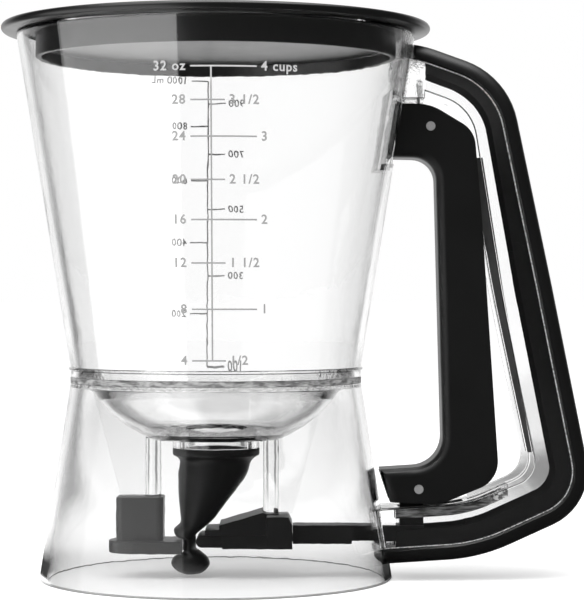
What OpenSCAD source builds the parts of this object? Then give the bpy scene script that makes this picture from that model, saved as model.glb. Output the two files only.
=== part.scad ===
// Pancake batter dispenser: a clear jug with a bowl-shaped floor, on a flared skirt that it is
// filled and set down on. Squeezing the trigger draws a bar out of the skirt, and the bar's inner
// end lets go of the silicone nozzle that it pinches shut under the bowl.
// Millimetres, +Z up. The jug's axis is Z, the foot is at Z = 0 and the handle is towards +X.
// Outlines are drawn in the X-Z plane and extruded to both sides of it.

/* [Jug] */
// Height of the jug's rim above the foot
rim_z = 180.4; // [150:0.2:218]
// Outer radius of the jug at its rim
rim_r = 66.2; // [55:0.2:80]
// Outer radius of the waist
waist_r = 48.3; // [42:0.1:58]
// Height of the top of the skirt, where the bowl's flange is joined on
waist_z = 65; // [58:0.5:78]
// Wall of the jug and the bowl
wall = 2.2; // [1.5:0.1:3]

/* [Skirt] */
// Outer radius of the foot
foot_r = 58.5; // [50:0.5:71]
// Wall of the skirt
skirt_wall = 2.4; // [1.6:0.1:3.2]

/* [Bowl] */
// Height of the underside of the bowl's floor
bowl_z = 46.2; // [42:0.2:50]
// Radius of the hole that the batter leaves by
outlet_r = 10.4; // [8.4:0.1:11.4]
// Radius of the posts that carry the valve
post_r = 2.6; // [2:0.1:3.2]

/* [Lid] */
// How far the lid's rim stands out past the jug's rim
lid_lap = 5; // [1:0.2:8]
// How far the lid's plug reaches down into the jug
plug_depth = 8.2; // [5:0.1:14]

/* [Handle] */
// Thickness of the clear frame's cheeks
cheek_t = 2.4; // [1.6:0.1:3.6]
// How far the rubber grip stands out past the frame on each side
grip_lap = 1.2; // [0.2:0.1:2]
// Depth of the rubber grip, from its crown to the seam
grip_depth = 5.5; // [4:0.1:7]
// How far the handle's back stands out from the foot
handle_reach = 67.4; // [58:0.2:81]

/* [Trigger] */
// Width of the trigger, across the handle
trigger_w = 18.4; // [17:0.1:22.5]
// Radius of the pivot pin and the link pin
pin_r = 1.5; // [1:0.1:1.8]
// Angle that the trigger is squeezed through
trigger_angle = 5; // [3:0.5:5]

/* [Valve] */
// Width of the drawbar
bar_w = 10; // [8:0.2:12]
// Thickness of the nozzle's wall
nozzle_wall = 2; // [1.4:0.1:2.4]

/* [Hidden] */
$fn = 96;

// Fits
joint_gap = 0.1;     // between clear mouldings that are joined face to face
pin_gap = 0.05;      // radial, a pin in its bore
slide_gap = 0.4;     // each side of a piece that slides
plug_gap = 4.2;      // between the lid's plug and the inside of the jug's rim
eps = 0.01;

// Jug
flange_t = 1.9;      // the bowl's flange, between the jug and the skirt
cup_z = waist_z + flange_t;
taper_z = waist_z + 5.3;
bead_h = 1.2;
bead_out = 0.6;
bowl_side_z = waist_z - 3;
bowl_flat_r = 22;
bowl_side_r = waist_r - 7.3;
bowl_round = 0.36;   // from 0, a straight cone, to 1, an ellipse
collar_r = outlet_r + 4.1;
collar_h = 3;
collar_z = bowl_z - collar_h;

// Pins, as [x, z]: the pivot in the top arm and the link in the bottom arm
pivot_z = rim_z - 30.7;
pivot = [cup_r(pivot_z) + 9.8, pivot_z];
link_z = 30;
link = [skirt_r(link_z) + 13.3, link_z];
bar_travel =
    (pivot[1] - link[1]) * sin(trigger_angle) + (pivot[0] - link[0]) * (1 - cos(trigger_angle));

// Handle, as insets from the grip's crown
seam_d = grip_depth;
ledge_z = [42, rim_z - 41];
shelf_d = [14.8, 18.5];
inner_bend_r = 8;    // no inset bend is tighter
grip_top = [cup_r(rim_z - 3.4), rim_z - 3.4];
handle_top = [rim_r + 30.7, rim_z - 13.9];
handle_low = [foot_r + handle_reach, 24.5];
handle_mid = (handle_top + handle_low) / 2 + [-0.2, 2.5];
handle_corners = [
    [grip_top[0] - 12, grip_top[1] + 0.8, 0],
    [grip_top[0] + 2, grip_top[1], 40],
    [handle_top[0], handle_top[1], 30],
    [handle_mid[0], handle_mid[1], 500],
    [handle_low[0], handle_low[1], 20],
    [handle_low[0] - 38.5, 7, 60],
    [foot_r - 12, 4.4, 0]
];
// Insets at each corner: the core's inner face, the cheeks' inner edge, the rib and the ledge
core_inset = [for (thickness = [3.6, 3.6, 3.6, 5.7, 5.7, 5.7, 5.7]) seam_d + thickness];
wall_inset = [14.5, 14.5, 14.5, 17.5, 17.5, 18.5, 18.5];
rib_outset = [15.6, 15.6, 15.6, 17.2, 18, 18, 18];
rib_inset = 20.5;
ledge_outset = [13, 13, 13, 16.3, 17.6, 17.6, 17.6];
ledge_inset = [17.5, 17.5, 17.5, 19.4, 18.8, 18.8, 18.8];
frame_in = trigger_w / 2 + slide_gap;
frame_out = frame_in + cheek_t;
grip_out = frame_out + grip_lap;
rib_w = 2;           // half the rib's width
root_x = pivot[0] - 2;
low_root_x = skirt_r(20) + 4;
window_w = bar_w / 2 + slide_gap;
leg_room_x = link[0] + bar_travel + 6;
arm_top_z = 40;      // the bottom arm of the handle is below this

// Trigger: the side that the fingers pull, and the back
cover_t = 1;
shell_t = 1.5;
front_t = 3.2;
hollow_w = trigger_w / 2 - cover_t - shell_t;
end_gap = 3;         // how far the top end sits inside the jug's outline
finger_corners = [
    [link[0] - 12.8, link[1] + 6.4, 0],
    [link[0] + 8.1, link[1] + 7.7, 10],
    [pivot[0] + 1.6, pivot[1] - 10.6, 7.6],
    [cup_r(pivot[1] - 10.2) - end_gap, pivot[1] - 10.2, 0]
];
back_corners = [
    [cup_r(pivot[1] + 7.5) - end_gap, pivot[1] + 7.5, 0],
    [pivot[0] - 0.2, pivot[1] + 7.3, 16],
    [crown_x(pivot[1] - 1.5) - 15.3, pivot[1] - 1.5, 9],
    [crown_x(pivot[1] - 29.7) - 18.8, pivot[1] - 29.7, 60],
    [link[0] + 26.5, link[1] + 3, 9.5],
    [link[0] + 7, link[1] - 5, 20],
    [link[0] - 9.5, link[1] - 4.3, 0]
];

// Pocket in the jug's wall that the trigger's top end sits in
pocket_depth = end_gap + 0.9;
pocket_w = trigger_w / 2 + end_gap / 3;
pocket_z = [pivot[1] - 12.4, pivot[1] + 9.2];

// Return spring, a torsion spring on the pivot pin
spring_wire_r = 0.55;
spring_r = 3.8;
spring_turns = 2;
spring_pitch = 1.15;
spring_y = [-3.6, -3.6 - spring_turns * spring_pitch];
spring_top_z = pivot[1] + 14.4;
lug_w = 2.7;
lug_r = 5;

// Valve: the jaws' faces, the posts and the levels
left_post_x = -20.9;
right_post_x = 18.3;
fixed_face_x = -11.3;
slide_face_x = -6.4;
jaw_w = 8;
plate_z = [8.5, 12.6];
block_z = 27;
guide_z = [10.3, 14.9];
guide_top_z = 20.8;
guide_w = jaw_w + slide_gap + 1.6;
left_post_z = block_z - 10;
right_post_z = guide_top_z - 4.3;
guide_x = [2.2, 25.3];
guide_split_x = right_post_x - 1.4;
head_x = 3.2;
tail_w = 3.6;
tail_z = [12.3, 14.4];
bar_z = [11.5, 17.7];
bar_low_z = 12.6;    // underside of the bar inside the handle
bar_start_x = 25.5;
bar_step_x = 45;
tail_x = bar_start_x + 10;
leg_w = 3.3;
eye_r = 3.7;
arc_steps = 10;

function cup_r(z) =
    z < taper_z ? waist_r : waist_r + (rim_r - waist_r) * (z - taper_z) / (rim_z - taper_z);
function skirt_r(z) = foot_r + (waist_r - foot_r) * z / waist_z;

// The grip's crown on the upper half of the handle
function crown_x(z) =
    handle_top[0] + (handle_mid[0] - handle_top[0]) * (handle_top[1] - z) / (handle_top[1] - handle_mid[1]);

// Plane geometry: a direction, and the normal on the right-hand side of it
function unit(v) = v / norm(v);
function side_of(v) = [v[1], -v[0]];
function turned(v, a) = [v[0] * cos(a) - v[1] * sin(a), v[0] * sin(a) + v[1] * cos(a)];
function xz(c) = [c[0], c[1]];
function reversed(list) = [for (i = [len(list) - 1:-1:0]) list[i]];

// Corner i of a path, moved to the right-hand side by d
function moved(c, i, d) =
    let (
        last = len(c) - 1,
        n = side_of(unit(xz(c[max(i, 1)]) - xz(c[max(i, 1) - 1]))),
        m = side_of(unit(xz(c[min(i, last - 1) + 1]) - xz(c[min(i, last - 1)])))
    )
    xz(c[i]) + d * (n + m) / (1 + n * m);

// The bend at corner k between p and q
function bend(p, k, q, r) =
    let (
        a = unit(k - p),
        b = unit(q - k),
        hand = cross(a, b) < 0 ? 1 : -1,
        turn = acos(a * b),
        reach = min(r * tan(turn / 2), 0.48 * norm(k - p), 0.48 * norm(q - k)),
        start = k - a * reach,
        centre = start + hand * reach / tan(turn / 2) * side_of(a)
    )
    [for (i = [0:arc_steps]) centre + turned(start - centre, -hand * turn * i / arc_steps)];

// A path through corners [x, z, bend radius], moved to its right-hand side by d,
// which is one value or one for each corner
function path(c, d = 0) =
    let (
        last = len(c) - 1,
        inset = is_list(d) ? d : [for (i = [0:last]) d],
        k = [for (i = [0:last]) moved(c, i, inset[i])]
    )
    [
        for (i = [0:last])
            each c[i][2] == 0
                ? [k[i]]
                : bend(k[i - 1], k[i], k[i + 1], max(c[i][2] - inset[i], min(c[i][2], inner_bend_r)))
    ];

module slab(half_w) {
    rotate([90, 0, 0])
        linear_extrude(height = 2 * half_w, center = true) children();
}

module cheeks(inner, outer) {
    for (side = [-1, 1])
        translate([0, side * (inner + outer) / 2, 0])
            rotate([90, 0, 0])
                linear_extrude(height = outer - inner, center = true) children();
}

module block(x, half_w, z) {
    translate([x[0], -half_w, z[0]]) cube([x[1] - x[0], 2 * half_w, z[1] - z[0]]);
}

module across(at, r, half_w) {
    translate([at[0], 0, at[1]]) rotate([90, 0, 0]) cylinder(r = r, h = 2 * half_w, center = true);
}

module handle_band(d0, d1) {
    polygon(concat(path(handle_corners, d0), reversed(path(handle_corners, d1))));
}

module jug_cone(grow) {
    translate([0, 0, taper_z])
        cylinder(r1 = waist_r + grow, r2 = rim_r + grow, h = rim_z - taper_z);
}

module skirt_cone(grow) {
    cylinder(r1 = foot_r + grow, r2 = waist_r + grow, h = waist_z);
}

// Tapered wall of the jug, with a bead at the waist and the pocket for the trigger's top end
module cup_wall() {
    inner_rim_r = rim_r - wall;
    inner_waist_r = waist_r - wall;
    foot = cup_z + joint_gap;
    edge = 0.5;
    color("white", 0.35)
        difference() {
            union() {
                rotate_extrude()
                    polygon([
                        [inner_waist_r, foot], [waist_r, foot], [waist_r, taper_z - bead_h],
                        [waist_r + bead_out, taper_z - bead_h + 0.3], [waist_r + bead_out, taper_z - 0.3],
                        [waist_r, taper_z], [cup_r(rim_z - edge), rim_z - edge],
                        [rim_r - edge, rim_z], [inner_rim_r + edge, rim_z],
                        [inner_rim_r, rim_z - edge],
                        [inner_waist_r, taper_z]
                    ]);
                intersection() {
                    jug_cone(-0.3);
                    slab(pocket_w + wall) pocket_outline(pocket_depth + wall, wall);
                }
            }
            slab(pocket_w) pocket_outline(pocket_depth, 0);
        }
}

module pocket_outline(depth, grow) {
    low = pocket_z[0] - grow;
    high = pocket_z[1] + grow;
    polygon([
        [cup_r(low) - depth, low], [cup_r(low) + 6, low],
        [cup_r(high) + 6, high], [cup_r(high) - depth, high]
    ]);
}

// Half of the bowl's section, shrunk by t, from the axis out and up to the waist
function bowl_curve(t) = [
    for (a = [90:-7.5:0])
        let (k = bowl_round + (1 - bowl_round) / (cos(a) + sin(a)))
        [
            bowl_flat_r + (bowl_side_r - bowl_flat_r - t) * k * cos(a),
            bowl_side_z - (bowl_side_z - bowl_z - t) * k * sin(a)
        ]
];

// Floor of the jug: bowl, flange, outlet collar, and the two ribbed posts that carry the valve
module bowl() {
    top = waist_z + flange_t;
    color("white", 0.35)
        difference() {
            union() {
                rotate_extrude()
                    polygon(concat(
                        [[0, bowl_z]], bowl_curve(0),
                        [[waist_r - skirt_wall, waist_z + joint_gap], [waist_r, waist_z + joint_gap],
                        [waist_r, top], [0, top]]
                    ));
                translate([0, 0, collar_z]) cylinder(r = collar_r, h = collar_h + eps);
                post(left_post_x, left_post_z, -1, 10.8, block_z + 0.3);
                post(right_post_x, right_post_z, 1, 7.3, guide_top_z + 0.5);
            }
            rotate_extrude()
                polygon(concat([[0, bowl_z + wall]], bowl_curve(wall), [[waist_r - wall, top], [0, top]]));
            translate([0, 0, top - eps]) cylinder(r = waist_r - wall, h = 1);
            translate([0, 0, collar_z - 1]) cylinder(r = outlet_r, h = bowl_z);
        }
}

// A post down to low_z, with a thin rib on its outer side that is low_w wide at rib_z
module post(x, low_z, hand, low_w, rib_z) {
    top = bowl_z + wall / 2;
    rib_t = 0.7;
    top_w = low_w + 0.27 * (bowl_side_z - rib_z);
    translate([x, 0, low_z]) cylinder(r = post_r, h = top - low_z);
    slab(rib_t)
        polygon([
            [x, rib_z], [x + hand * low_w, rib_z],
            [x + hand * top_w, bowl_side_z], [x, bowl_side_z]
        ]);
}

// Flared skirt, open below, with a window that the drawbar leaves by
module base_skirt() {
    inner = skirt_wall;
    color("white", 0.35)
        difference() {
            rotate_extrude()
                polygon([
                    [foot_r - inner, 0.4], [foot_r - inner + 0.4, 0], [foot_r - 0.4, 0], [foot_r, 0.4],
                    [waist_r, waist_z], [waist_r - inner, waist_z]
                ]);
            block([waist_r - 8, foot_r + 5], window_w, [bar_z[0] - slide_gap, bar_z[1] + slide_gap]);
        }
}

// Lift-off lid: a shallow dish with a plug wall, and a rim that rests on the jug
module lid() {
    low = rim_z + joint_gap;
    plug_r = rim_r - wall - plug_gap;
    lid_r = rim_r + lid_lap;
    plug_low = rim_z - plug_depth;
    dish_z = plug_low + 4;
    t = 2;
    lip = 1.3;
    color("dimgray")
        rotate_extrude()
            polygon(concat(
                [[0, dish_z], [plug_r - t, dish_z], [plug_r - t, plug_low + 0.4],
                [plug_r - t + 0.4, plug_low], [plug_r - 0.4, plug_low], [plug_r, plug_low + 0.4],
                [plug_r, low], [rim_r + 1, low]],
                [for (a = [-70:14:70]) [lid_r - lip + lip * cos(a), low + 1.7 + lip * sin(a)]],
                [[plug_r - 0.5, low + 3], [plug_r - t, low + 1.5], [plug_r - t, dish_z + t + 1],
                [plug_r - t - 1, dish_z + t], [0, dish_z + t]]
            ));
}

// Clear frame of the handle: cheeks, rib with the pivot's lug, ledge, bottom shelf and roots
module handle_frame() {
    half = frame_out;
    color("white", 0.35)
        difference() {
            union() {
                cheeks(frame_in, half) handle_band(seam_d, wall_inset);
                difference() {
                    slab(rib_w) handle_band(rib_outset, rib_inset);
                    block([0, leg_room_x], half, [0, arm_top_z]);
                }
                intersection() {
                    slab(hollow_w - 0.8) handle_band(ledge_outset, ledge_inset);
                    block([link[0], foot_r + handle_reach], half, ledge_z);
                }
                intersection() {
                    slab(half) handle_band(seam_d, 24);
                    block([0, root_x], half, [pivot[1] + 9, rim_z]);
                }
                intersection() {
                    slab(half) handle_band(seam_d, shelf_d[1] - 0.6);
                    block([0, low_root_x], half, [0, arm_top_z]);
                }
                intersection() {
                    slab(hollow_w - 0.4) handle_band(shelf_d[0], shelf_d[1]);
                    block([0, link[0] + 29.5], half, [0, arm_top_z]);
                }
                across(pivot, lug_r, lug_w);
                block([pivot[0] - lug_r + 1, pivot[0] + lug_r + 1], rib_w, [pivot[1], pivot[1] + 8]);
            }
            jug_cone(joint_gap);
            skirt_cone(joint_gap);
            across(pivot, pin_r + pin_gap, half);
            spring_slot();
            // Room for the drawbar, and for the leg that rises from it
            block([0, leg_room_x], window_w, [0, bar_z[1] + slide_gap]);
            block([link[0] - 6.6, leg_room_x - 1.5], leg_w + 0.6, [0, arm_top_z]);
        }
}

// Slot beside the lug that holds the spring's upper leg
module spring_slot() {
    x = pivot[0] - spring_r;
    half = (hollow_w - lug_w - 0.2) / 2;
    r = 0.9;
    translate([0, half - hollow_w, 0]) {
        block([x - r, x + r], half, [pivot[1], spring_top_z]);
        across([x, spring_top_z], r, half);
    }
}

// Stiff insert that fills the frame's outer channel and carries the rubber
module grip_core() {
    color([0.16, 0.16, 0.16])
        difference() {
            slab(frame_in - joint_gap) handle_band(seam_d, core_inset);
            block([0, root_x + joint_gap], frame_out, [arm_top_z, rim_z + 9]);
            block([0, leg_room_x], window_w, [0, arm_top_z]);
            block([0, low_root_x + joint_gap], frame_out, [0, arm_top_z]);
        }
}

// Rubber grip: the crowned section is swept along the handle
module handle_grip() {
    crown = 3.4;
    section = concat(
        [for (a = [0:15:180]) [grip_out * cos(a), crown * (1 - sin(a))]],
        [[-grip_out, seam_d], [grip_out, seam_d]]
    );
    rows = [for (s = section) [for (p = path(handle_corners, s[1])) [p[0], s[0], p[1]]]];
    color([0.1, 0.1, 0.1])
        difference() {
            skin(rows);
            jug_cone(joint_gap);
            block([0, grip_top[0] + 0.6], grip_out + 1, [arm_top_z, rim_z + 9]);
            translate([0, 0, -1]) cylinder(r = foot_r, h = 2);
            skirt_cone(joint_gap);
        }
}

// A closed skin over rows of points: rows go round the section, and its ends are capped
module skin(rows) {
    n = len(rows);
    m = len(rows[0]);
    polyhedron(
        points = [for (row = rows) each row],
        faces = concat(
            [for (i = [0:n - 1], j = [0:m - 2]) let (k = (i + 1) % n) each [
                [i * m + j, i * m + j + 1, k * m + j + 1], [i * m + j, k * m + j + 1, k * m + j]
            ]],
            [[for (i = [0:n - 1]) i * m]],
            [[for (i = [n - 1:-1:0]) i * m + m - 1]]
        )
    );
}

// A path's corners with its ends drawn out along their edges by start and by end
function stretched(c, start, end) =
    let (last = len(c) - 1)
    [
        for (i = [0:last])
            let (
                pull = i == 0
                    ? start * unit(xz(c[0]) - xz(c[1]))
                    : i == last ? end * unit(xz(c[last]) - xz(c[last - 1])) : [0, 0]
            )
            [c[i][0] + pull[0], c[i][1] + pull[1], c[i][2]]
    ];

// Outline of the trigger, moved away from the fingers by front and out at the back by back_out,
// with its lower and its top end drawn out by low_out and top_out
module trigger_outline(front = 0, back_out = 0, low_out = 0, top_out = 0) {
    polygon(concat(
        path(stretched(finger_corners, low_out, top_out), front),
        path(stretched(back_corners, top_out, low_out), -back_out)
    ));
}

module pin_bores() {
    across(pivot, pin_r + pin_gap, trigger_w);
    across(link, pin_r + pin_gap, trigger_w);
}

// Trigger: a channel that is open at the back and straddles the frame's rib
module trigger() {
    color([0.14, 0.14, 0.14])
        difference() {
            union() {
                difference() {
                    slab(hollow_w + shell_t) trigger_outline(front = cover_t);
                    slab(hollow_w) trigger_outline(front_t, 4, 6, -2.4);
                }
                // Stop that the spring's lower leg bears on
                translate([pivot[0] - spring_r - spring_wire_r - 3.1, -hollow_w - 0.1, pivot[1] - 8])
                    cube([3, hollow_w - lug_w - 0.1, 4.4]);
            }
            pin_bores();
        }
}

// Soft cover over the trigger's front and sides
module trigger_cover() {
    color([0.08, 0.08, 0.08])
        difference() {
            slab(trigger_w / 2) trigger_outline();
            slab(hollow_w + shell_t) trigger_outline(cover_t, 4, 6, 4);
            pin_bores();
        }
}

module pivot_pin() {
    color("gray") across(pivot, pin_r, trigger_w / 2 + 0.1);
}

module link_pin() {
    color("gray") across(link, pin_r, trigger_w / 2 + 0.1);
}

// A round wire along points, with its rings square to the path and one axis of them near Y
module wire(points, r, sides = 8) {
    last = len(points) - 1;
    rings = [
        for (i = [0:last])
            let (
                t = unit(points[min(i + 1, last)] - points[max(i - 1, 0)]),
                n = unit(cross(t, [0, 1, 0])),
                m = cross(t, n)
            )
            [for (k = [0:sides - 1]) points[i] + r * (cos(360 * k / sides) * n + sin(360 * k / sides) * m)]
    ];
    skin([for (k = [0:sides - 1]) [for (ring = rings) ring[k]]]);
}

module return_spring() {
    steps = 24;
    leg_x = pivot[0] - spring_r;
    coil = [
        for (i = [0:steps * spring_turns])
            let (a = 180 + 360 * i / steps)
            [
                pivot[0] + spring_r * cos(a),
                spring_y[0] - spring_pitch * i / steps,
                pivot[1] + spring_r * sin(a)
            ]
    ];
    color("silver")
        wire(
            concat(
                [[leg_x, spring_y[0], spring_top_z - 0.4], [leg_x, spring_y[0], pivot[1] + 3]],
                coil,
                [[leg_x, spring_y[1], pivot[1] - 3], [leg_x, spring_y[1], pivot[1] - 6.6]]
            ),
            spring_wire_r
        );
}

// Bar that the trigger's link pin draws out through the skirt, with the leg that the pin turns in
module drawbar() {
    half = bar_w / 2;
    end_x = link[0] + 1.8;
    eye_rise = 0.5;      // the pin rises and falls a little as the trigger swings
    eye_half = pin_r + pin_gap;
    socket_z = [tail_z[0] - pin_gap, tail_z[1] + pin_gap];
    color([0.12, 0.12, 0.12])
        difference() {
            union() {
                block([bar_start_x, bar_step_x], half, bar_z);
                block([bar_step_x - eps, end_x], half, [bar_low_z, bar_z[1]]);
                block([link[0] - 6, end_x], leg_w, [bar_z[1] - 1, link[1] - 1]);
                across(link, eye_r, leg_w);
            }
            block([bar_start_x - 1, tail_x + joint_gap], tail_w + pin_gap, socket_z);
            for (rise = [-eye_rise, eye_rise]) across(link + [0, rise], eye_half, leg_w + 1);
            block(
                [link[0] - eye_half, link[0] + eye_half], leg_w + 1,
                [link[1] - eye_rise, link[1] + eye_rise]
            );
        }
}

// Sliding jaw: a head with a round nose, and a tail that plugs into the drawbar
module slide_jaw() {
    nose_r = (guide_z[1] - guide_z[0]) / 2 - 0.25;
    mid_z = (guide_z[1] + guide_z[0]) / 2;
    color([0.12, 0.12, 0.12]) {
        across([slide_face_x + nose_r, mid_z], nose_r, jaw_w);
        block([slide_face_x + nose_r, head_x], jaw_w, [mid_z - nose_r, mid_z + nose_r]);
        block([head_x - eps, tail_x], tail_w, tail_z);
    }
}

// Fixed jaw: an oval plate, and a socket block that is pushed onto the left post
module fixed_jaw() {
    half_w = jaw_w + 1;
    block_x = [-33, -17.3];
    socket_z = left_post_z - joint_gap;
    color([0.22, 0.22, 0.22])
        difference() {
            union() {
                translate([-26.7, 0, plate_z[0]]) cylinder(r = half_w, h = plate_z[1] - plate_z[0]);
                block([-26.7, fixed_face_x], half_w, plate_z);
                translate([0, 0, plate_z[1] - eps])
                    linear_extrude(height = block_z - plate_z[1])
                        polygon(rounded_box(block_x, 6.5, 2.5));
            }
            translate([left_post_x, 0, socket_z]) cylinder(r = post_r + pin_gap, h = 12);
        }
}

// A box with round corners in plan
function rounded_box(x, half_w, r) = [
    for (quarter = [0:3])
        for (a = [90 * quarter:15:90 * quarter + 90])
            [
                (quarter == 0 || quarter == 3 ? x[1] - r : x[0] + r) + r * cos(a),
                (quarter < 2 ? half_w - r : r - half_w) + r * sin(a)
            ]
];

// Guide on the right post: cheeks beside the sliding jaw, and lips under its tail
module guide_block() {
    block_x = [right_post_x - post_r - 1, guide_x[1]];
    color([0.12, 0.12, 0.12])
        difference() {
            union() {
                cheeks(jaw_w + slide_gap, guide_w)
                    polygon([
                        [guide_x[0], guide_z[0]], [guide_x[1], guide_z[0]],
                        [guide_x[1], guide_z[1]], [guide_x[0], guide_z[1]]
                    ]);
                cheeks(tail_w + 0.6, guide_w)
                    polygon([
                        [block_x[0], guide_z[0]], [guide_x[1], guide_z[0]],
                        [guide_x[1], tail_z[0] - 0.4], [block_x[0], tail_z[0] - 0.4]
                    ]);
                slab(guide_w)
                    polygon([
                        [guide_split_x, guide_z[1]], [block_x[1], guide_z[1]],
                        [block_x[1], guide_top_z - 2.6], [block_x[1] - 1.3, guide_top_z],
                        [guide_split_x, guide_top_z]
                    ]);
            }
            right_socket();
        }
}

module right_socket() {
    translate([right_post_x, 0, right_post_z - joint_gap]) cylinder(r = post_r + pin_gap, h = 9);
}

// Latch wedge that lies on the guide's cheeks and closes the guide's socket round the post
module jaw_latch() {
    end_x = guide_split_x - joint_gap;
    color([0.1, 0.1, 0.1])
        difference() {
            slab(guide_w)
                polygon([
                    [-3.4, guide_z[1]], [end_x, guide_z[1]], [end_x, guide_top_z + 1.2],
                    [end_x - 1.2, guide_top_z + 1.5], [1.3, 18.1], [1.3, 16.7], [-3.4, 16.5]
                ]);
            right_socket();
        }
}

// Silicone nozzle: a flange under the collar, a throat that leans to the fixed jaw, and a bulb
// below the pinch. Each slice is [height, left x, right x, half the width across]
module nozzle() {
    pinch = [fixed_face_x + 0.3, slide_face_x - 0.3];
    top = collar_z - joint_gap;
    outside = [
        [top - 0.1, -collar_r, collar_r, collar_r],
        [top - 1.9, -collar_r, collar_r, collar_r],
        [top - 4.4, -12, 11.7, 11.8],
        [33.5, -12.6, 9.8, 11.4],
        [19, -11.8, -1.2, 9.4],
        [15.8, -14.1, -4.9, 8.8],
        [13.8, -13.4, pinch[1], 8.4],
        [13, pinch[0], pinch[1], 8],
        [9.8, pinch[0], pinch[1], 7.6],
        [8.3, pinch[0], -4.9, 7.2],
        [6.8, -14, -3, 6.6],
        [4.4, -15, -2, 6.4],
        [2, -12.6, -4.2, 4.4],
        [1, -10.4, -6.2, 2]
    ];
    inside = [
        [top + 1, 1 - outlet_r, outlet_r - 1, outlet_r - 1],
        [33.5, -12.6 + nozzle_wall, 9.8 - nozzle_wall, 11.4 - nozzle_wall],
        [19, -11.8 + nozzle_wall, -1.2 - nozzle_wall, 9.4 - nozzle_wall],
        [15.4, -10.6, -8.4, 6]
    ];
    color([0.07, 0.07, 0.07])
        difference() {
            slices(outside);
            slices(inside);
        }
}

module slices(rows) {
    for (i = [0:len(rows) - 2])
        hull()
            for (row = [rows[i], rows[i + 1]])
                translate([(row[1] + row[2]) / 2, 0, row[0]])
                    scale([(row[2] - row[1]) / 2, row[3], 1])
                        cylinder(r = 1, h = 0.02, center = true, $fn = 32);
}

cup_wall();
bowl();
base_skirt();
lid();
handle_frame();
grip_core();
handle_grip();
trigger();
trigger_cover();
pivot_pin();
link_pin();
return_spring();
drawbar();
slide_jaw();
fixed_jaw();
guide_block();
jaw_latch();
nozzle();
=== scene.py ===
import math

import bmesh
import bpy
from mathutils import Matrix, Vector


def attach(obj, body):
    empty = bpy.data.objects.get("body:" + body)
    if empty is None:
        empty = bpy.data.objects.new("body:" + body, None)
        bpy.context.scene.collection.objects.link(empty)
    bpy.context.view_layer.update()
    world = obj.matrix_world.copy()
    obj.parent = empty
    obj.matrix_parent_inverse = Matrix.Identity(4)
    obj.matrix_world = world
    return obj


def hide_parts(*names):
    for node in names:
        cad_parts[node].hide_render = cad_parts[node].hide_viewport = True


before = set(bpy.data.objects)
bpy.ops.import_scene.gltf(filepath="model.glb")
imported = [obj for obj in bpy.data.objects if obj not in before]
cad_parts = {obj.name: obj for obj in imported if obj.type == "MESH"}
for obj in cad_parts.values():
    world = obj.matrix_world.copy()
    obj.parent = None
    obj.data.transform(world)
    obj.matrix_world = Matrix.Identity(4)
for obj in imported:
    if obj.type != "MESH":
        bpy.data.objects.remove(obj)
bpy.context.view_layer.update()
scene = bpy.context.scene
MM = 0.001


# ---- Camera ----
# A long lens, level with the middle of the jug and a little to the handle's side of its axis. The
# small drop keeps the whole object in the picture without a tilt.
lens_place = (25.3 * MM, -765 * MM, 95 * MM)
long_side_px = 600
focal_px = 2295
drop_px = 8
camera_data = bpy.data.cameras.new("camera")
camera_data.sensor_width = 36
camera_data.lens = focal_px * camera_data.sensor_width / long_side_px
camera_data.shift_y = -drop_px / long_side_px
camera_data.clip_start = 0.01
camera = bpy.data.objects.new("camera", camera_data)
camera.location = lens_place
camera.rotation_euler = (math.radians(90), 0, 0)
scene.collection.objects.link(camera)
scene.camera = camera
scene.view_settings.view_transform = "Standard"


# ---- Floor, surroundings and lamps ----
# A pale sweep that is white to the lens, with a softbox high on the left and one overhead. Polished
# faces mirror a white card on the left, a panel overhead and a dark room. Clear walls show bright
# panels all round, and the gaps between them draw the grey lines.
class Value:
    """A shader number or colour that takes part in Python arithmetic."""

    def __init__(self, tree, socket):
        self.tree, self.socket = tree, socket

    def maths(self, operation, *terms):
        node = self.tree.nodes.new("ShaderNodeMath")
        node.operation = operation
        for slot, term in zip(node.inputs, terms):
            if isinstance(term, Value):
                self.tree.links.new(term.socket, slot)
            else:
                slot.default_value = term
        return Value(self.tree, node.outputs[0])

    def __add__(self, other):
        return self.maths("ADD", self, other)

    def __radd__(self, other):
        return self.maths("ADD", other, self)

    def __sub__(self, other):
        return self.maths("SUBTRACT", self, other)

    def __rsub__(self, other):
        return self.maths("SUBTRACT", other, self)

    def __mul__(self, other):
        return self.maths("MULTIPLY", self, other)

    def __rmul__(self, other):
        return self.maths("MULTIPLY", other, self)

    def __pow__(self, other):
        return self.maths("POWER", self, other)

    def larger(self, other):
        return self.maths("MAXIMUM", self, other)


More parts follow.
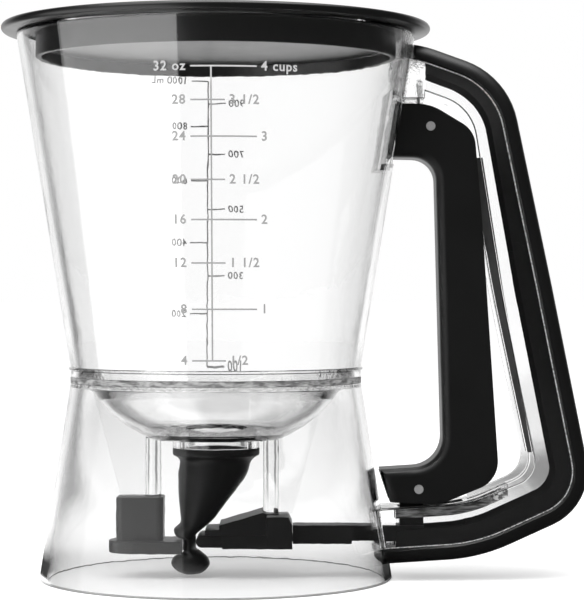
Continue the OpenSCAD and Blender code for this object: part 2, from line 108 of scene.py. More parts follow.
class Finish:
    """Builds one node tree: a material's, or the surroundings'."""

    def __init__(self, name, owner=None):
        self.owner = owner or bpy.data.materials.new(name)
        self.owner.use_nodes = True
        self.tree = self.owner.node_tree
        self.tree.nodes.clear()

    def node(self, kind, settings=None, inputs=None, output=0):
        made = self.tree.nodes.new("ShaderNode" + kind)
        for key, value in (settings or {}).items():
            if key == "stops":
                while len(made.color_ramp.elements) < len(value):
                    made.color_ramp.elements.new(1)
                for stop, (place, tone) in zip(made.color_ramp.elements, value):
                    stop.position, stop.color = place, (tone, tone, tone, 1)
            else:
                setattr(made, key, value)
        for key, value in (inputs or {}).items():
            if isinstance(value, Value):
                self.tree.links.new(value.socket, made.inputs[key])
            else:
                made.inputs[key].default_value = value
        return Value(self.tree, made.outputs[output]) if made.outputs else None

    def place(self):
        return self.node("TexCoord", output="Object")

    def noise(self, scale, detail=2.0, roughness=0.5, place=None):
        return self.node(
            "TexNoise",
            inputs={
                "Vector": place or self.place(), "Scale": scale, "Detail": detail,
                "Roughness": roughness,
            },
        )

    def between(self, value, low, high, to_low, to_high):
        return self.node(
            "MapRange", {"interpolation_type": "SMOOTHSTEP"},
            {
                "Value": value, "From Min": low, "From Max": high,
                "To Min": to_low, "To Max": to_high,
            },
        )

    def tone(self, value):
        return self.node("CombineColor", inputs={"Red": value, "Green": value, "Blue": value})

    def bump(self, height, depth, strength=1.0):
        return self.node(
            "Bump", inputs={"Height": height, "Distance": depth, "Strength": strength}
        )

    def surface(self, shader):
        kind = "OutputWorld" if isinstance(self.owner, bpy.types.World) else "OutputMaterial"
        self.node(kind, inputs={"Surface": shader})
        return self.owner


def mirror_and_window(finish):
    """Three masks: straight to the lens, off a polished face, and through clear walls alone."""
    to_camera, to_gloss, to_clear = (
        finish.node("LightPath", output="Is " + kind + " Ray")
        for kind in ("Camera", "Glossy", "Transmission")
    )
    glossy, scattered = (
        finish.node("Clamp", inputs={"Value": finish.node("LightPath", output=kind + " Depth")})
        for kind in ("Glossy", "Diffuse")
    )
    unscattered = 1 - scattered
    return to_camera, to_gloss * glossy * unscattered, to_clear * (1 - glossy) * unscattered


def studio_card(finish, place, edge):
    """1 where the white card on the left shows in a polished face, and the place's own x, y, z."""
    across, along, up = (
        finish.node("SeparateXYZ", inputs={"Vector": place}, output=axis) for axis in "XYZ"
    )
    behind_front_edge = finish.between(along * 0.342 - across * 0.94, -edge, edge, 0.0, 1.0)
    before_back_edge = finish.between(-0.989 * along - across * 0.15, -edge, edge, 0.0, 1.0)
    return behind_front_edge * before_back_edge, across, along, up


panel_count = 8


def panels(finish, across, along):
    """1 in front of the bright panels that stand round the object, and 0 in the gaps between."""
    bearing = across.maths("ARCTAN2", across, along) * panel_count
    return finish.between(bearing.maths("COSINE", bearing), -0.9, -0.3, 0, 1)


world = bpy.data.worlds.new("surroundings")
scene.world = world
room = Finish("surroundings", world)
to_camera, mirrored, seen_through = mirror_and_window(room)
card, sideways, backward, upward = studio_card(
    room, room.node("TexCoord", output="Generated"), 0.015
)
soft_fill = 0.72
dark_room = 0.04
card_glow = 0.45
gap_tone = 0.35
sweep = room.between(backward, 0.62, 0.9, 0, 0.95)
overhead = room.between(upward, 0.72, 0.92, 0, 3.2)
fade_up = room.between(upward, 0.35, 0.6, 1, 0.3)
room_in_gloss = overhead + (dark_room + (card * card_glow).larger(sweep)) * fade_up
room_in_clear = room.between(upward, 0.28, 0.5, 1.2, 0.05) * (
    gap_tone + panels(room, sideways, backward) * (1 - gap_tone)
)
brightness = (
    soft_fill * (1 - to_camera - mirrored - seen_through)
    + to_camera
    + mirrored * room_in_gloss
    + seen_through * room_in_clear
)
room.surface(room.node("Background", inputs={"Color": (1, 1, 1, 1), "Strength": brightness}))

floor_half = 20.0
floor_mesh = bmesh.new()
bmesh.ops.create_grid(floor_mesh, x_segments=8, y_segments=8, size=floor_half)
floor_data = bpy.data.meshes.new("floor")
floor_mesh.to_mesh(floor_data)
floor_mesh.free()
floor = bpy.data.objects.new("floor", floor_data)
scene.collection.objects.link(floor)
paper = Finish("paper_sweep")
to_lens, in_polish, in_clear = mirror_and_window(paper)
by_card, paper_x, paper_y = studio_card(paper, paper.place(), 0.006)[:3]
distance_squared = paper_x * paper_x + paper_y * paper_y
lit_back = paper.between(paper_y.maths("DIVIDE", paper_y, distance_squared**0.5), 0.62, 0.9, 0, 1)
lit = by_card.larger(lit_back)
in_gap = in_clear * paper.between(distance_squared, 0.02, 0.2, 0, 1) * (
    1 - panels(paper, paper_x, paper_y)
)
glow_in_clear = paper.between(distance_squared, 0.3, 6, 0.25, 0.65)
glow = (
    to_lens * 0.45
    + in_clear * (1 - in_gap) * glow_in_clear
    + in_polish * (by_card * 1.1).larger(lit_back * 0.45)
)
floor_data.materials.append(
    paper.surface(
        paper.node(
            "BsdfPrincipled",
            inputs={
                "Base Color": paper.tone(0.8 - in_polish * (1 - lit) * 0.74 - in_gap * 0.5),
                "Roughness": 0.9, "Specular IOR Level": 0.0, "Emission Color": (1, 1, 1, 1),
                "Emission Strength": glow,
            },
        )
    )
)


def softbox(name, place, target, width, height, radiance):
    data = bpy.data.lights.new(name, "AREA")
    data.shape, data.size, data.size_y = "RECTANGLE", width, height
    data.energy = radiance * math.pi * width * height
    lamp = bpy.data.objects.new(name, data)
    lamp.location = place
    lamp.rotation_euler = (Vector(target) - Vector(place)).to_track_quat("-Z", "Y").to_euler()
    scene.collection.objects.link(lamp)


softbox("softbox_left", (-0.9, -0.85, 1.15), (0, 0, 0.1), 1.1, 0.9, 3.0)
softbox("softbox_top", (0.15, -0.35, 1.35), (0.05, 0, 0.1), 1.1, 0.8, 3.4)


# ---- Clear mouldings: jug wall, bowl, skirt and handle frame ----
# Clear copolyester, injection moulded in four pieces with polished faces and joined at flanges. The
# cut edge of a thick wall looks grey, because light that enters there travels along the wall; here
# that grey is painted shade in the plastic's colour, darker wherever a wall is seen edge on.
crease_deg = 32
corner_deg = 40


def smooth_copy(node_name, piece_name, sharp_deg=crease_deg):
    """A piece with a node's own shape, its loose triangles joined and its curved faces smooth."""
    mesh = bmesh.new()
    mesh.from_mesh(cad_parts[node_name].data)
    bmesh.ops.remove_doubles(mesh, verts=mesh.verts, dist=1e-6)
    data = bpy.data.meshes.new(piece_name)
    mesh.to_mesh(data)
    mesh.free()
    for old in ("custom_normal", "sharp_face", "sharp_edge"):
        if old in data.attributes:
            data.attributes.remove(data.attributes[old])
    data.shade_smooth()
    data.set_sharp_from_angle(angle=math.radians(sharp_deg))
    piece = bpy.data.objects.new(piece_name, data)
    scene.collection.objects.link(piece)
    return piece


def soften(piece, radius, segments, wanted, clamped=True):
    """Rounds the edges that wanted(edge) picks, in mm, and keeps the flat faces flat."""
    mesh = bmesh.new()
    mesh.from_mesh(piece.data)
    bmesh.ops.dissolve_limit(
        mesh, angle_limit=math.radians(0.4), verts=mesh.verts, edges=mesh.edges
    )
    picked = [e for e in mesh.edges if len(e.link_faces) == 2 and wanted(e)]
    bmesh.ops.bevel(
        mesh, geom=picked, offset=radius * MM, offset_type="OFFSET", segments=segments,
        profile=0.5, affect="EDGES", clamp_overlap=clamped, material=-1,
    )
    bmesh.ops.triangulate(mesh, faces=[f for f in mesh.faces if len(f.verts) > 4])
    mesh.to_mesh(piece.data)
    mesh.free()
    piece.data.shade_smooth()
    piece.data.set_sharp_from_angle(angle=math.radians(crease_deg))
    weighted = piece.modifiers.new("flat faces stay flat", "WEIGHTED_NORMAL")
    weighted.keep_sharp = True


def side_edge(half_w):
    """Picks the outline's edges on both side faces of a moulding that is 2 * half_w wide."""
    def wanted(e):
        on_side = all(abs(abs(v.co.y) - half_w * MM) < 1e-5 for v in e.verts)
        turns = e.calc_face_angle() > math.radians(corner_deg)
        return on_side and turns and any(abs(f.normal.y) > 0.99 for f in e.link_faces)
    return wanted


def fit(piece, material, body, slot, *nodes):
    """Finishes a piece: its material, the body it moves with and the nodes it stands for."""
    piece.data.materials.clear()
    piece.data.materials.append(material)
    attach(piece, body)
    if nodes:
        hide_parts(*nodes)


def copolyester(name, edge_shade_depth, edge_width):
    """Clear plastic whose colour is painted darker where it is seen edge on: painted shade.

    It is wavy in the welds at the jug's waist and at the handle's upper root."""
    clear = Finish(name)
    grazing = clear.node("LayerWeight", inputs={"Blend": 0.5}, output="Facing")
    place = clear.place()
    x, z = (clear.node("SeparateXYZ", inputs={"Vector": place}, output=axis) for axis in "XZ")
    waist_weld = (
        clear.between(z, 0.0636, 0.0642, 0, 1) * clear.between(z, 0.0662, 0.0668, 1, 0)
        * clear.between(x, 0.05, 0.052, 1, 0)
    )
    root_weld = (
        clear.between(x, 0.0605, 0.0625, 0, 1) * clear.between(x, 0.0675, 0.0695, 1, 0)
        * clear.between(z, 0.150, 0.154, 0, 1)
    )
    weld = waist_weld.larger(root_weld * 4) * clear.noise(620, 3.0, 0.6)
    flow = clear.noise(55, 3.0, 0.55) + weld * 2.2
    polish = clear.node(
        "BsdfPrincipled",
        inputs={
            "Base Color": clear.tone(0.985 - (grazing ** (1 / edge_width)) * edge_shade_depth),
            "Roughness": 0.01 + clear.noise(240) * 0.012,
            "IOR": 1.56,
            "Transmission Weight": 1.0,
            "Normal": clear.bump(flow, 0.00015, 0.4),
        },
    )
    lit_through = clear.node("BsdfTransparent", inputs={"Color": (0.93, 0.93, 0.93, 1)})
    shadow_ray = clear.node("LightPath", output="Is Shadow Ray")
    mixed = clear.tree.nodes.new("ShaderNodeMixShader")
    for socket, value in zip(mixed.inputs, (shadow_ray, polish, lit_through)):
        clear.tree.links.new(value.socket, socket)
    return clear.surface(Value(clear.tree, mixed.outputs[0]))


clear_plastic = copolyester("clear_copolyester", 0.45, 0.2)
# The bowl gets a deeper and wider painted edge shade than the other clear mouldings.
bowl_plastic = copolyester("clear_bowl_copolyester", 0.95, 0.33)

frosted = Finish("frosted_weld")
streaked = frosted.node(
    "Mapping", inputs={"Vector": frosted.place(), "Scale": (0.35, 0.35, 1.6)}
)
mottle = frosted.noise(520, 4.0, 0.7, streaked)
frosted_weld = frosted.surface(
    frosted.node(
        "BsdfPrincipled",
        inputs={
            "Base Color": frosted.tone(frosted.between(mottle, 0.36, 0.64, 0.12, 0.5)),
            "Roughness": 0.7 + mottle * 0.2,
        },
    )
)
# Painted highlight: the bevels along the handle's seam get white speckles in their colour, painted
# glints for the frame's edge catching the light.
seam = Finish("seam_painted_glints")
painted_glints = seam.noise(1500, 2.0, 0.6)
painted_glint_tone = seam.between(painted_glints, 0.38, 0.55, 0.25, 1.0)
seam_with_painted_glints = seam.surface(
    seam.node("BsdfPrincipled", inputs={"Base Color": seam.tone(painted_glint_tone), "Roughness": 0.4})
)
foot = Finish("textured_foot")
textured_foot = foot.surface(
    foot.node(
        "BsdfPrincipled",
        inputs={"Base Color": foot.tone(0.38 + foot.noise(300) * 0.15), "Roughness": 0.8},
    )
)
# Painted shade and painted highlight: the shelf's side faces get dark streaks that stand in for the
# shade seen in the clear shelf, and white glints painted near its right end.
shelf_paint = Finish("painted_shelf_shade_and_glints")
along_shelf = shelf_paint.node("Mapping", inputs={"Vector": shelf_paint.place(), "Scale": (0.12, 1, 1)})
painted_shade_streaks = shelf_paint.between(shelf_paint.noise(1400, 3.0, 0.6, along_shelf), 0.35, 0.7, 0.02, 0.35)
shelf_x = shelf_paint.node("SeparateXYZ", inputs={"Vector": shelf_paint.place()}, output="X")
painted_end_glints = shelf_paint.between(shelf_x, 0.088, 0.094, 0, 1) * shelf_paint.between(
    shelf_paint.noise(700), 0.45, 0.6, 0, 0.9
)
painted_shelf_shade_and_glints = shelf_paint.surface(
    shelf_paint.node(
        "BsdfPrincipled",
        inputs={"Base Color": shelf_paint.tone(painted_shade_streaks.larger(painted_end_glints)), "Roughness": 0.35},
    )
)
# Painted shade: the ledge's side faces get a nearly black, mottled opaque colour that stands in for
# the shade seen in the clear ledge.
ledge_paint = Finish("painted_ledge_shade")
shade_mottle = ledge_paint.noise(90, 3.0, 0.6)
painted_ledge_shade = ledge_paint.surface(
    ledge_paint.node(
        "BsdfPrincipled",
        inputs={
            "Base Color": ledge_paint.tone(0.02 + shade_mottle * 0.06), "Roughness": 0.25 + shade_mottle * 0.2,
        },
    )
)


def second_finish(piece, material, picked):
    """Gives the faces that picked(face) picks another material."""
    piece.data.materials.append(material)
    for face in piece.data.polygons:
        if picked(face):
            face.material_index = len(piece.data.materials) - 1


near = 0.1 * MM


def at_waist(face):
    """Picks the joined faces above and below the bowl's flange, and the flange's outer edge."""
    level = any(abs(face.center.z - z * MM) < near for z in (waist_z, waist_z + flange_t))
    outer = face.center.xy.length > (waist_r - 0.3) * MM
    edge = outer and waist_z * MM < face.center.z < (waist_z + flange_t) * MM
    return level if abs(face.normal.z) > 0.99 else edge


def handle_seam(face):
    """Picks the bevels along the outside of both cheeks, beside the rubber."""
    on_bevel = 0.01 < frame_out - abs(face.center.y) / MM < cheek_round - 0.01
    outward = (face.center.xz - Vector(finger_gap) * MM).dot(face.normal.xz) > 0
    return on_bevel and outward


def under_skirt(face):
    """Picks the face that the skirt stands on, and the chamfer round it."""
    return face.normal.z < -0.3 and face.center.z < 0.5 * MM


def side_face(half_w):
    """Picks the side faces of what is 2 * half_w wide inside the handle."""
    def picked(face):
        return abs(face.normal.y) > 0.99 and abs(abs(face.center.y) - half_w * MM) < near
    return picked


rim_z, rim_r, waist_r, taper_z = 180.4, 66.2, 48.3, 70.3
waist_z, flange_t = 65.05, 1.9
ledge_half_w, shelf_half_w = 5.9, 6.3
trigger_w = 18.4
frame_in = trigger_w / 2 + 0.4
frame_out = frame_in + 2.4
cheek_round = 0.45
finger_gap = (80, 100)
for node_name, piece_name in (
    ("cup_wall", "jug_wall"), ("bowl", "jug_bowl"), ("base_skirt", "skirt"),
    ("handle_frame", "clear_handle_frame"),
):
    moulding = smooth_copy(node_name, piece_name)
    if node_name == "handle_frame":
        soften(moulding, cheek_round, 2, side_edge(frame_out))
    plastic = bowl_plastic if node_name == "bowl" else clear_plastic
    fit(moulding, plastic, "jug_body", "clear_plastic", node_name)
    if node_name == "handle_frame":
        second_finish(moulding, painted_ledge_shade, side_face(ledge_half_w))
        second_finish(moulding, painted_shelf_shade_and_glints, side_face(shelf_half_w))
        second_finish(moulding, seam_with_painted_glints, handle_seam)
    else:
        second_finish(moulding, frosted_weld, at_waist)
    if node_name == "base_skirt":
        second_finish(moulding, textured_foot, under_skirt)


# ---- Measuring scales ----
# Two scales are pad printed on the outside of the jug in one grey ink: cups and ounces on the
# front, and millilitres at the back, which show mirrored through the jug. The ink is painted
# lighter on the marks near the top, a painted highlight, and it is paler at the back.
def jug_radius(z):
    return waist_r + (rim_r - waist_r) * max(z - taper_z, 0) / (rim_z - taper_z)


ink = Finish("grey_ink")
ink_y, ink_z = (
    ink.node("SeparateXYZ", inputs={"Vector": ink.place()}, output=axis) for axis in "YZ"
)
# Painted highlight: the ink is painted lighter on the marks near the top, for the light that falls
# there.
painted_light_by_height = ink.between(ink_z, 0.158, 0.162, 0.38, 0.62) * (0.9 + ink.noise(900) * 0.2)
ink_tone = painted_light_by_height * ink.between(ink_y, 0, 0.01, 1, 1.6)
grey_ink = ink.surface(
    ink.node(
        "BsdfPrincipled",
        inputs={"Base Color": ink.tone(ink_tone), "Roughness": 0.55, "Specular IOR Level": 0.3},
    )
)
ink_film = 0.02
ink_lift = 0.05
boldness = 0.02
letter_spacing = 1.13


def lettering(mesh, text, size, align, x, z):
    """Adds flat text to a mesh, in mm, centred on height z."""
    data = bpy.data.curves.new("lettering", "FONT")
    data.body, data.size, data.align_x, data.align_y = text, size, align, "CENTER"
    data.extrude, data.offset = ink_film / 2, size * boldness
    data.space_character = letter_spacing
    data.resolution_u = 3
    written = bpy.data.objects.new("lettering", data)
    scene.collection.objects.link(written)
    flat = bpy.data.meshes.new_from_object(
        written.evaluated_get(bpy.context.evaluated_depsgraph_get())
    )
    flat.transform(Matrix.Translation((x, z, 0)))
    mesh.from_mesh(flat)
    bpy.data.objects.remove(written)
    bpy.data.meshes.remove(flat)


def stroke(mesh, x0, x1, z0, z1):
    """Adds a flat bar to a mesh, in mm, cut fine enough to follow the jug."""
    bar = bmesh.ops.create_cube(mesh, size=1)["verts"]
    bmesh.ops.scale(mesh, verts=bar, vec=(x1 - x0, z1 - z0, ink_film))
    bmesh.ops.translate(mesh, verts=bar, vec=((x0 + x1) / 2, (z0 + z1) / 2, 0))
    long_edges = [
        e for e in {e for v in bar for e in v.link_edges} if e.calc_length() > 2
    ]
    if long_edges:
        bmesh.ops.subdivide_edges(mesh, edges=long_edges, cuts=11, use_grid_fill=True)


def print_on_jug(mesh, name, turn):
    """Wraps flat print round the jug, turn degrees from the front, where its x is 0."""
    for v in mesh.verts:
        x, z, lift = v.co
        r = jug_radius(z)
        a = x / r + math.radians(turn)
        reach = r + ink_lift + lift
        v.co = (reach * math.sin(a) * MM, -reach * math.cos(a) * MM, z * MM)
    bmesh.ops.recalc_face_normals(mesh, faces=mesh.faces)
    data = bpy.data.meshes.new(name)
    mesh.to_mesh(data)
    mesh.free()
    piece = bpy.data.objects.new(name, data)
    scene.collection.objects.link(piece)
    fit(piece, grey_ink, "jug_body", "clear_plastic")


line_w = 0.5
line_x = 0.5
letter_size, small_size = 4.05, 3.5
cup_marks = (
    (164.2, "32 oz", "4 cups"), (154.0, "28", "3 1/2"), (142.9, "24", "3"), (129.7, "20", "2 1/2"),
    (117.4, "16", "2"), (104.0, "12", "1 1/2"), (89.6, "8", "1"), (73.5, "4", "1/2"),
)
front_print = bmesh.new()
stroke(front_print, line_x - line_w / 2, line_x + line_w / 2, cup_marks[-1][0], cup_marks[0][0])
for i, (z, ounces, cups) in enumerate(cup_marks):
    line_end, cups_x = (14.6, 16.0) if i % 2 == 0 else (4.7, 6.0)
    stroke(front_print, -5.9, line_end, z - line_w / 2, z + line_w / 2)
    lettering(front_print, ounces, letter_size, "RIGHT", -7.4, z)
    lettering(front_print, cups, letter_size, "LEFT", cups_x, z)
print_on_jug(front_print, "scale_cups", 0)

# Seen from behind, the back scale's line is 5 mm to the right of the centre.
back_line_x = 5.0
ml_marks = (
    (171.0, "1000 mL"), (162.8, "900"), (154.4, "800"), (144.3, "700"), (134.8, "600"),
    (124.4, "500"), (112.5, "400"), (100.7, "300"), (87.2, "200"), (72.3, "100"),
)
back_print = bmesh.new()
stroke(
    back_print, back_line_x - line_w / 2, back_line_x + line_w / 2, ml_marks[-1][0], ml_marks[0][0]
)
for i, (z, millilitres) in enumerate(ml_marks):
    side = 1 if i % 2 == 0 else -1
    ends = sorted((back_line_x, back_line_x + side * 6.4))
    stroke(back_print, ends[0], ends[1], z - line_w / 2, z + line_w / 2)
    align = "LEFT" if side > 0 else "RIGHT"
    lettering(back_print, millilitres, small_size, align, back_line_x + side * 7.6, z)
print_on_jug(back_print, "scale_millilitres", 180)


# ---- Lid ----
# Black polypropylene with a satin skin. It is moulded in one piece as a shallow dish, with a plug
# wall that hangs in the jug and a rounded rim that lies on it.
def spun(profile, name, steps=160):
    """A profile of (radius, height) in mm, with both ends on the jug's axis, turned round it."""
    mesh = bmesh.new()
    ring = [mesh.verts.new((r * MM, 0, z * MM)) for r, z in profile]
    edges = [mesh.edges.new(pair) for pair in zip(ring, ring[1:])]
    bmesh.ops.spin(
        mesh, geom=ring + edges, cent=(0, 0, 0), axis=(0, 0, 1), angle=2 * math.pi, steps=steps,
        use_merge=True, use_duplicate=False,
    )
    bmesh.ops.remove_doubles(mesh, verts=mesh.verts, dist=1e-7)
    bmesh.ops.recalc_face_normals(mesh, faces=mesh.faces)
    data = bpy.data.meshes.new(name)
    mesh.to_mesh(data)
    mesh.free()
    data.shade_smooth()
    data.set_sharp_from_angle(angle=math.radians(corner_deg))
    piece = bpy.data.objects.new(name, data)
    scene.collection.objects.link(piece)
    return piece


def arc(centre, radius, start_deg, end_deg, steps):
    """Points round a corner of a profile."""
    return [
        (centre[0] + radius * math.cos(a), centre[1] + radius * math.sin(a))
        for a in (
            math.radians(start_deg + (end_deg - start_deg) * i / steps) for i in range(steps + 1)
        )
    ]


rim_low, plug_r, plug_low = 180.5, 59.8, 172.2
lid_wall = 2.0
dish_z = plug_low + 4
lip_r, lid_r = 1.3, 71.2
inner_r = plug_r - lid_wall
lid_profile = (
    [(0, dish_z), (inner_r - 1, dish_z)]
    + arc((inner_r - 0.6, dish_z - 0.6), 0.6, 90, 0, 3)
    + arc((inner_r + 0.5, plug_low + 0.5), 0.5, 180, 270, 3)
    + arc((plug_r - 0.5, plug_low + 0.5), 0.5, 270, 360, 3)
    + arc((plug_r + 0.8, rim_low - 0.8), 0.8, 180, 90, 4)
    + [(rim_r + 1, rim_low)]
    + arc((lid_r - lip_r, rim_low + 1.7), lip_r, -80, 85, 12)
    + arc((plug_r + 0.6, rim_low + 2.0), 1.0, 85, 150, 5)
    + [(inner_r + 0.3, rim_low + 1.2)]
    + arc((inner_r - 1.8, dish_z + lid_wall + 1.8), 1.8, 0, -90, 6)
    + [(0, dish_z + lid_wall)]
)


def satin_black(name, tone, roughness, grain=4200, depth=0.000002, shine=0.42, painted_top_light=0.0):
    """Moulded black plastic or rubber: a dull skin with a fine spark-eroded grain.

    Given a value, the colour is painted lighter towards the top of the handle, up to that tone:
    painted light for where the top light falls."""
    made = Finish(name)
    wear = made.noise(38, 4.0, 0.6)
    fine = made.noise(grain, 3.0, 0.6)
    if painted_top_light:
        height = made.node("SeparateXYZ", inputs={"Vector": made.place()}, output="Z")
        tone = made.between(height, 0.128, 0.168, tone, painted_top_light)
    return made.surface(
        made.node(
            "BsdfPrincipled",
            inputs={
                "Base Color": made.tone(tone * 0.7 + wear * (tone * 0.6)),
                "Roughness": roughness - 0.06 + wear * 0.12,
                "Specular IOR Level": shine,
                "Normal": made.bump(fine, depth, 0.5),
            },
        )
    )


lid = spun(lid_profile, "lift_off_lid")
fit(lid, satin_black("black_polypropylene", 0.006, 0.3), "lid_body", "lid_plastic", "lid")


# ---- Rubber grip and its core ----
# A soft black elastomer is moulded over a stiff black core. The core is pressed into the channel
# of the clear frame, and the rubber stands proud of the frame on both sides.
def bent_path(corners, inset, steps=10, tightest=8.0, most_of_leg=0.48):
    """Points along corners (x, z, bend radius), moved to the right-hand side by inset, in mm."""
    pts = [Vector((c[0], c[1])) for c in corners]
    along = [(b - a).normalized() for a, b in zip(pts, pts[1:])]
    moved = []
    for i, p in enumerate(pts):
        first, second = along[max(i - 1, 0)], along[min(i, len(along) - 1)]
        n, m = Vector((first.y, -first.x)), Vector((second.y, -second.x))
        moved.append(p + inset * (n + m) / (1 + n.dot(m)))
    out = []
    for i, (x, z, radius) in enumerate(corners):
        if radius == 0:
            out.append(moved[i])
            continue
        before, corner, after = moved[i - 1], moved[i], moved[i + 1]
        a, b = (corner - before).normalized(), (after - corner).normalized()
        hand = 1 if a.x * b.y - a.y * b.x < 0 else -1
        turn = math.acos(max(-1, min(1, a.dot(b))))
        r = max(radius - inset, min(radius, tightest))
        shorter_leg = min((corner - before).length, (after - corner).length)
        reach = min(r * math.tan(turn / 2), most_of_leg * shorter_leg)
        start = corner - a * reach
        centre = start + hand * reach / math.tan(turn / 2) * Vector((a.y, -a.x))
        for k in range(steps + 1):
            angle = -hand * turn * k / steps
            spoke = start - centre
            out.append(
                centre + Vector((
                    spoke.x * math.cos(angle) - spoke.y * math.sin(angle),
                    spoke.x * math.sin(angle) + spoke.y * math.cos(angle),
                ))
            )
    return out


foot_r, handle_reach = 58.5, 67.4
handle_low = (foot_r + handle_reach, 24.5)
handle_top = (rim_r + 30.7, rim_z - 13.9)
handle_mid = ((handle_top[0] + handle_low[0]) / 2 - 0.2, (handle_top[1] + handle_low[1]) / 2 + 2.5)
grip_top = (jug_radius(rim_z - 3.4), rim_z - 3.4)
handle_corners = (
    (grip_top[0] - 12, grip_top[1] + 0.8, 0), (grip_top[0] + 2, grip_top[1], 40),
    (*handle_top, 30), (*handle_mid, 500), (*handle_low, 20),
    (handle_low[0] - 38.5, 7, 60), (foot_r - 12, 4.4, 0),
)


def to_object(mesh, name, sharp_deg=corner_deg):
    """A mesh in mm, made an object in metres."""
    bmesh.ops.scale(mesh, verts=mesh.verts, vec=(MM, MM, MM))
    bmesh.ops.recalc_face_normals(mesh, faces=mesh.faces)
    data = bpy.data.meshes.new(name)
    mesh.to_mesh(data)
    mesh.free()
    data.shade_smooth()
    data.set_sharp_from_angle(angle=math.radians(sharp_deg))
    piece = bpy.data.objects.new(name, data)
    scene.collection.objects.link(piece)
    return piece


def lofted(sections, name, sharp_deg=corner_deg):
    """Closed rings of points in mm, joined one to the next and capped at both ends."""
    mesh = bmesh.new()
    rings = []
    for section in sections:
        verts = [mesh.verts.new(p) for p in section]
        rings.append([mesh.edges.new(pair) for pair in zip(verts, verts[1:] + verts[:1])])
    for one, other in zip(rings, rings[1:]):
        bmesh.ops.bridge_loops(mesh, edges=one + other)
    for end in (rings[0], rings[-1]):
        bmesh.ops.contextual_create(mesh, geom=end)
    return to_object(mesh, name, sharp_deg)


def carve(piece, cutter):
    """Cuts one piece with another, which is then removed."""
    cut = piece.modifiers.new("cut", "BOOLEAN")
    cut.operation, cut.solver, cut.object = "DIFFERENCE", "EXACT", cutter
    cut.use_hole_tolerant = True
    shaped = bpy.data.meshes.new_from_object(
        piece.evaluated_get(bpy.context.evaluated_depsgraph_get())
    )
    piece.modifiers.clear()
    piece.data = shaped
    bpy.data.objects.remove(cutter)


def cone(r_low, r_high, z_low, z_high):
    """A cutter round the jug's axis, in mm."""
    mesh = bmesh.new()
    bmesh.ops.create_cone(
        mesh, cap_ends=True, segments=192, radius1=r_low, radius2=r_high, depth=z_high - z_low
    )
    bmesh.ops.translate(mesh, verts=mesh.verts, vec=(0, 0, (z_low + z_high) / 2))
    return to_object(mesh, "cutter")


def brick(x, half_y, z):
    """A cutter from x[0] to x[1] and z[0] to z[1], in mm."""
    mesh = bmesh.new()
    bmesh.ops.create_cube(mesh, size=1)
    bmesh.ops.scale(mesh, verts=mesh.verts, vec=(x[1] - x[0], 2 * half_y, z[1] - z[0]))
    bmesh.ops.translate(mesh, verts=mesh.verts, vec=((x[0] + x[1]) / 2, 0, (z[0] + z[1]) / 2))
    return to_object(mesh, "cutter")


joint_gap = 0.1
seam_d = 5.5
skirt_top = 65
grip_out = frame_out + 1.2
crown, shoulder = 0.5, 4.2
section_shape = []
for side in (1, -1):
    round_over = [
        (side * (grip_out - shoulder * (1 - math.cos(math.radians(a)))),
         crown + shoulder * (1 - math.sin(math.radians(a))))
        for a in range(0, 91, 10)
    ]
    flat_top = [(side * (grip_out - shoulder) * k, crown * k * k) for k in (0.75, 0.5, 0.25)]
    section_shape += round_over + flat_top + [(0, 0)] if side > 0 else (round_over + flat_top)[::-1]
section_shape += [(-grip_out, seam_d - 0.5), (-grip_out + 0.5, seam_d)]
section_shape += [(grip_out - 0.5, seam_d), (grip_out, seam_d - 0.5)]
rows = [[(p.x, y, p.y) for p in bent_path(handle_corners, d)] for y, d in section_shape]
rubber_grip = lofted(list(zip(*rows)), "rubber_grip")
carve(rubber_grip, cone(waist_r + joint_gap, rim_r + joint_gap, taper_z, rim_z))
carve(rubber_grip, cone(foot_r + joint_gap, waist_r + joint_gap, 0, skirt_top))
carve(rubber_grip, brick((0, grip_top[0] - joint_gap), 20, (40, 190)))
soft_rubber = satin_black("soft_black_rubber", 0.005, 0.42, grain=3500, depth=0.000008)
fit(rubber_grip, soft_rubber, "jug_body", "grip_rubber", "handle_grip")

grip_core = smooth_copy("grip_core", "stiff_grip_core")
# The core's colour is painted lighter towards the top of the handle: painted light.
core_plastic = satin_black(
    "black_core_plastic", 0.011, 0.5, grain=300, depth=0.000004, shine=0.0, painted_top_light=0.055
)
fit(grip_core, core_plastic, "jug_body", "core_plastic", "grip_core")


# ---- Trigger ----
# A stiff channel with a soft cover over its front and sides. The cover's finger side is rounded,
# and the two pins go through both.
trigger = smooth_copy("trigger", "trigger_channel")
channel_plastic = satin_black("black_channel_plastic", 0.010, 0.34, depth=0.000001)
fit(trigger, channel_plastic, "trigger_body", "core_plastic", "trigger")
cover = smooth_copy("trigger_cover", "trigger_soft_cover")


def finger_edge(e):
    """Picks the long edges of the cover's front, whose faces run right across it."""
    runs_across = any(
        min(v.co.y for v in f.verts) < -MM and max(v.co.y for v in f.verts) > MM
        for f in e.link_faces
    )
    return runs_across and side_edge(trigger_w / 2)(e)


finger_round = 3.0
soften(cover, finger_round, 7, finger_edge, clamped=False)
fit(cover, soft_rubber, "trigger_body", "grip_rubber", "trigger_cover")


# ---- Pins and return spring ----
# Turned stainless pins with chamfered ends, and a torsion spring wound from music wire.
def brushed_steel(name, tone, roughness):
    made = Finish(name)
    rings = made.noise(2600, 2.0)
    return made.surface(
        made.node(
            "BsdfPrincipled",
            inputs={
                "Base Color": made.tone(tone * 0.85 + rings * (tone * 0.3)), "Metallic": 0.65,
                "Roughness": roughness + rings * 0.1,
            },
        )
    )


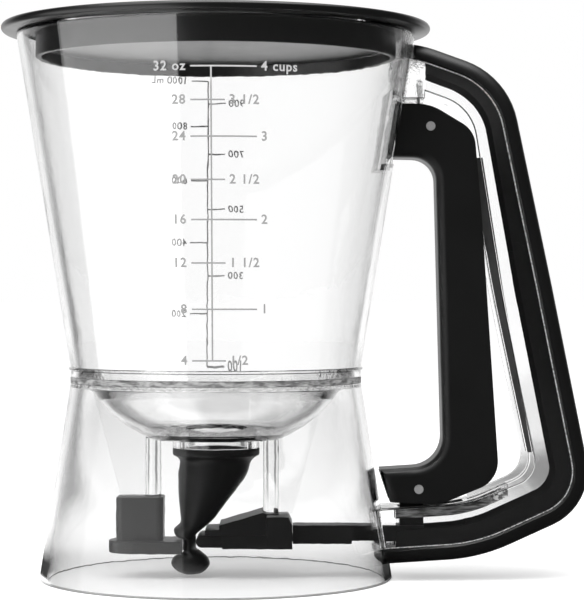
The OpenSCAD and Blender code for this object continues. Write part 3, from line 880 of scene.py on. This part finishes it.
steel = brushed_steel("turned_steel", 0.6, 0.35)
for node_name, piece_name in (("pivot_pin", "pivot_pin_steel"), ("link_pin", "link_pin_steel")):
    pin = smooth_copy(node_name, piece_name)
    fit(pin, steel, "trigger_body", "steel", node_name)
spring = smooth_copy("return_spring", "torsion_spring", 60)
fit(spring, steel, "jug_body", "steel", "return_spring")


# ---- Valve ----
# Nylon mouldings: the drawbar with its sliding jaw, the fixed jaw pushed on the left post,
# and the guide with its latch on the right post. All are black but the fixed jaw, which is given a
# lighter grey tone.
touching_x = (-11.3, 25.4)


def moulded_edge(e):
    """Picks the sharp edges, apart from those of faces that lie against a neighbour."""
    touching = any(
        all(abs(v.co.x - x * MM) < 0.15 * MM for v in e.verts) for x in touching_x
    )
    return e.calc_face_angle() > math.radians(corner_deg) and not touching


black_nylon = satin_black("black_nylon", 0.006, 0.42, shine=0.3)
lighter_nylon = satin_black("lighter_nylon", 0.024, 0.4)
for node_name, piece_name, body, nylon in (
    ("drawbar", "drawbar_moulding", "drawbar_body", black_nylon),
    ("slide_jaw", "sliding_jaw", "drawbar_body", black_nylon),
    ("fixed_jaw", "fixed_jaw_moulding", "jug_body", lighter_nylon),
    ("guide_block", "guide_moulding", "jug_body", black_nylon),
    ("jaw_latch", "latch_wedge", "jug_body", black_nylon),
):
    moulding = smooth_copy(node_name, piece_name)
    soften(moulding, 0.35, 3, moulded_edge)
    fit(moulding, nylon, body, "valve_plastic", node_name)


# ---- Nozzle ----
# Moulded silicone: a flange that is clamped under the outlet, a throat that leans to the fixed
# jaw, and a bulb below the pinch.
def flowing(slices, between=6):
    """More slices on a smooth curve through the given ones."""
    out = []
    for i in range(len(slices) - 1):
        p = [slices[max(0, min(len(slices) - 1, k))] for k in (i - 1, i, i + 1, i + 2)]
        for step in range(between):
            t = step / between
            row = []
            for a, b, c, d in zip(*p):
                slope_in = (c - a) * 0.5 if (b - a) * (c - b) > 0 else 0
                slope_out = (d - b) * 0.5 if (c - b) * (d - c) > 0 else 0
                row.append(
                    (2 * t**3 - 3 * t**2 + 1) * b + (t**3 - 2 * t**2 + t) * slope_in
                    + (3 * t**2 - 2 * t**3) * c + (t**3 - t**2) * slope_out
                )
            out.append(tuple(row))
    return out + [slices[-1]]


def oval(z, left, right, half_w, sides=64):
    """A level ring of points from left to right on x, in mm."""
    return [
        (
            (left + right) / 2 + (right - left) / 2 * math.cos(2 * math.pi * k / sides),
            half_w * math.sin(2 * math.pi * k / sides), z,
        )
        for k in range(sides)
    ]


collar_z = 43.2
outlet_r, collar_r = 10.4, 14.5
nozzle_top = collar_z - joint_gap
throat = [
    (nozzle_top - 2.4, -collar_r + 0.2, collar_r - 0.2, collar_r - 0.2),
    (nozzle_top - 4.4, -12.0, 11.7, 11.8), (33.5, -12.6, 9.8, 11.4), (26, -12.3, 4.3, 10.4),
    (19, -11.8, -1.2, 9.4), (15.8, -14.1, -4.9, 8.8), (13.8, -13.3, -6.8, 8.4),
    (12.9, -11.1, -6.7, 8.0), (9.8, -11.0, -6.7, 7.6), (8.4, -11.1, -5.0, 7.2),
    (6.8, -14.0, -3.0, 6.6), (4.6, -14.9, -2.1, 6.4), (2.6, -13.6, -3.2, 5.0),
    (1.4, -11.6, -5.0, 3.2), (1.0, -10.0, -6.6, 1.6),
]
flange = [
    (nozzle_top, -collar_r + 0.3, collar_r - 0.3, collar_r - 0.3),
    (nozzle_top - 0.3, -collar_r, collar_r, collar_r),
    (nozzle_top - 1.8, -collar_r, collar_r, collar_r),
]
bore = [
    (15.5, -10.4, -8.6, 6.0), (19, -9.8, -3.2, 7.4), (26, -10.3, 2.3, 8.4),
    (33.5, -10.6, 7.8, 9.4), (nozzle_top, 1 - outlet_r, outlet_r - 1, outlet_r - 1),
]
nozzle = lofted(
    [oval(*row) for row in flowing(bore, 4) + flange + flowing(throat)], "silicone_nozzle", 50
)
silicone = satin_black("black_silicone", 0.004, 0.45, grain=3000, depth=0.000004, shine=0.2)
fit(nozzle, silicone, "jug_body", "silicone", "nozzle")
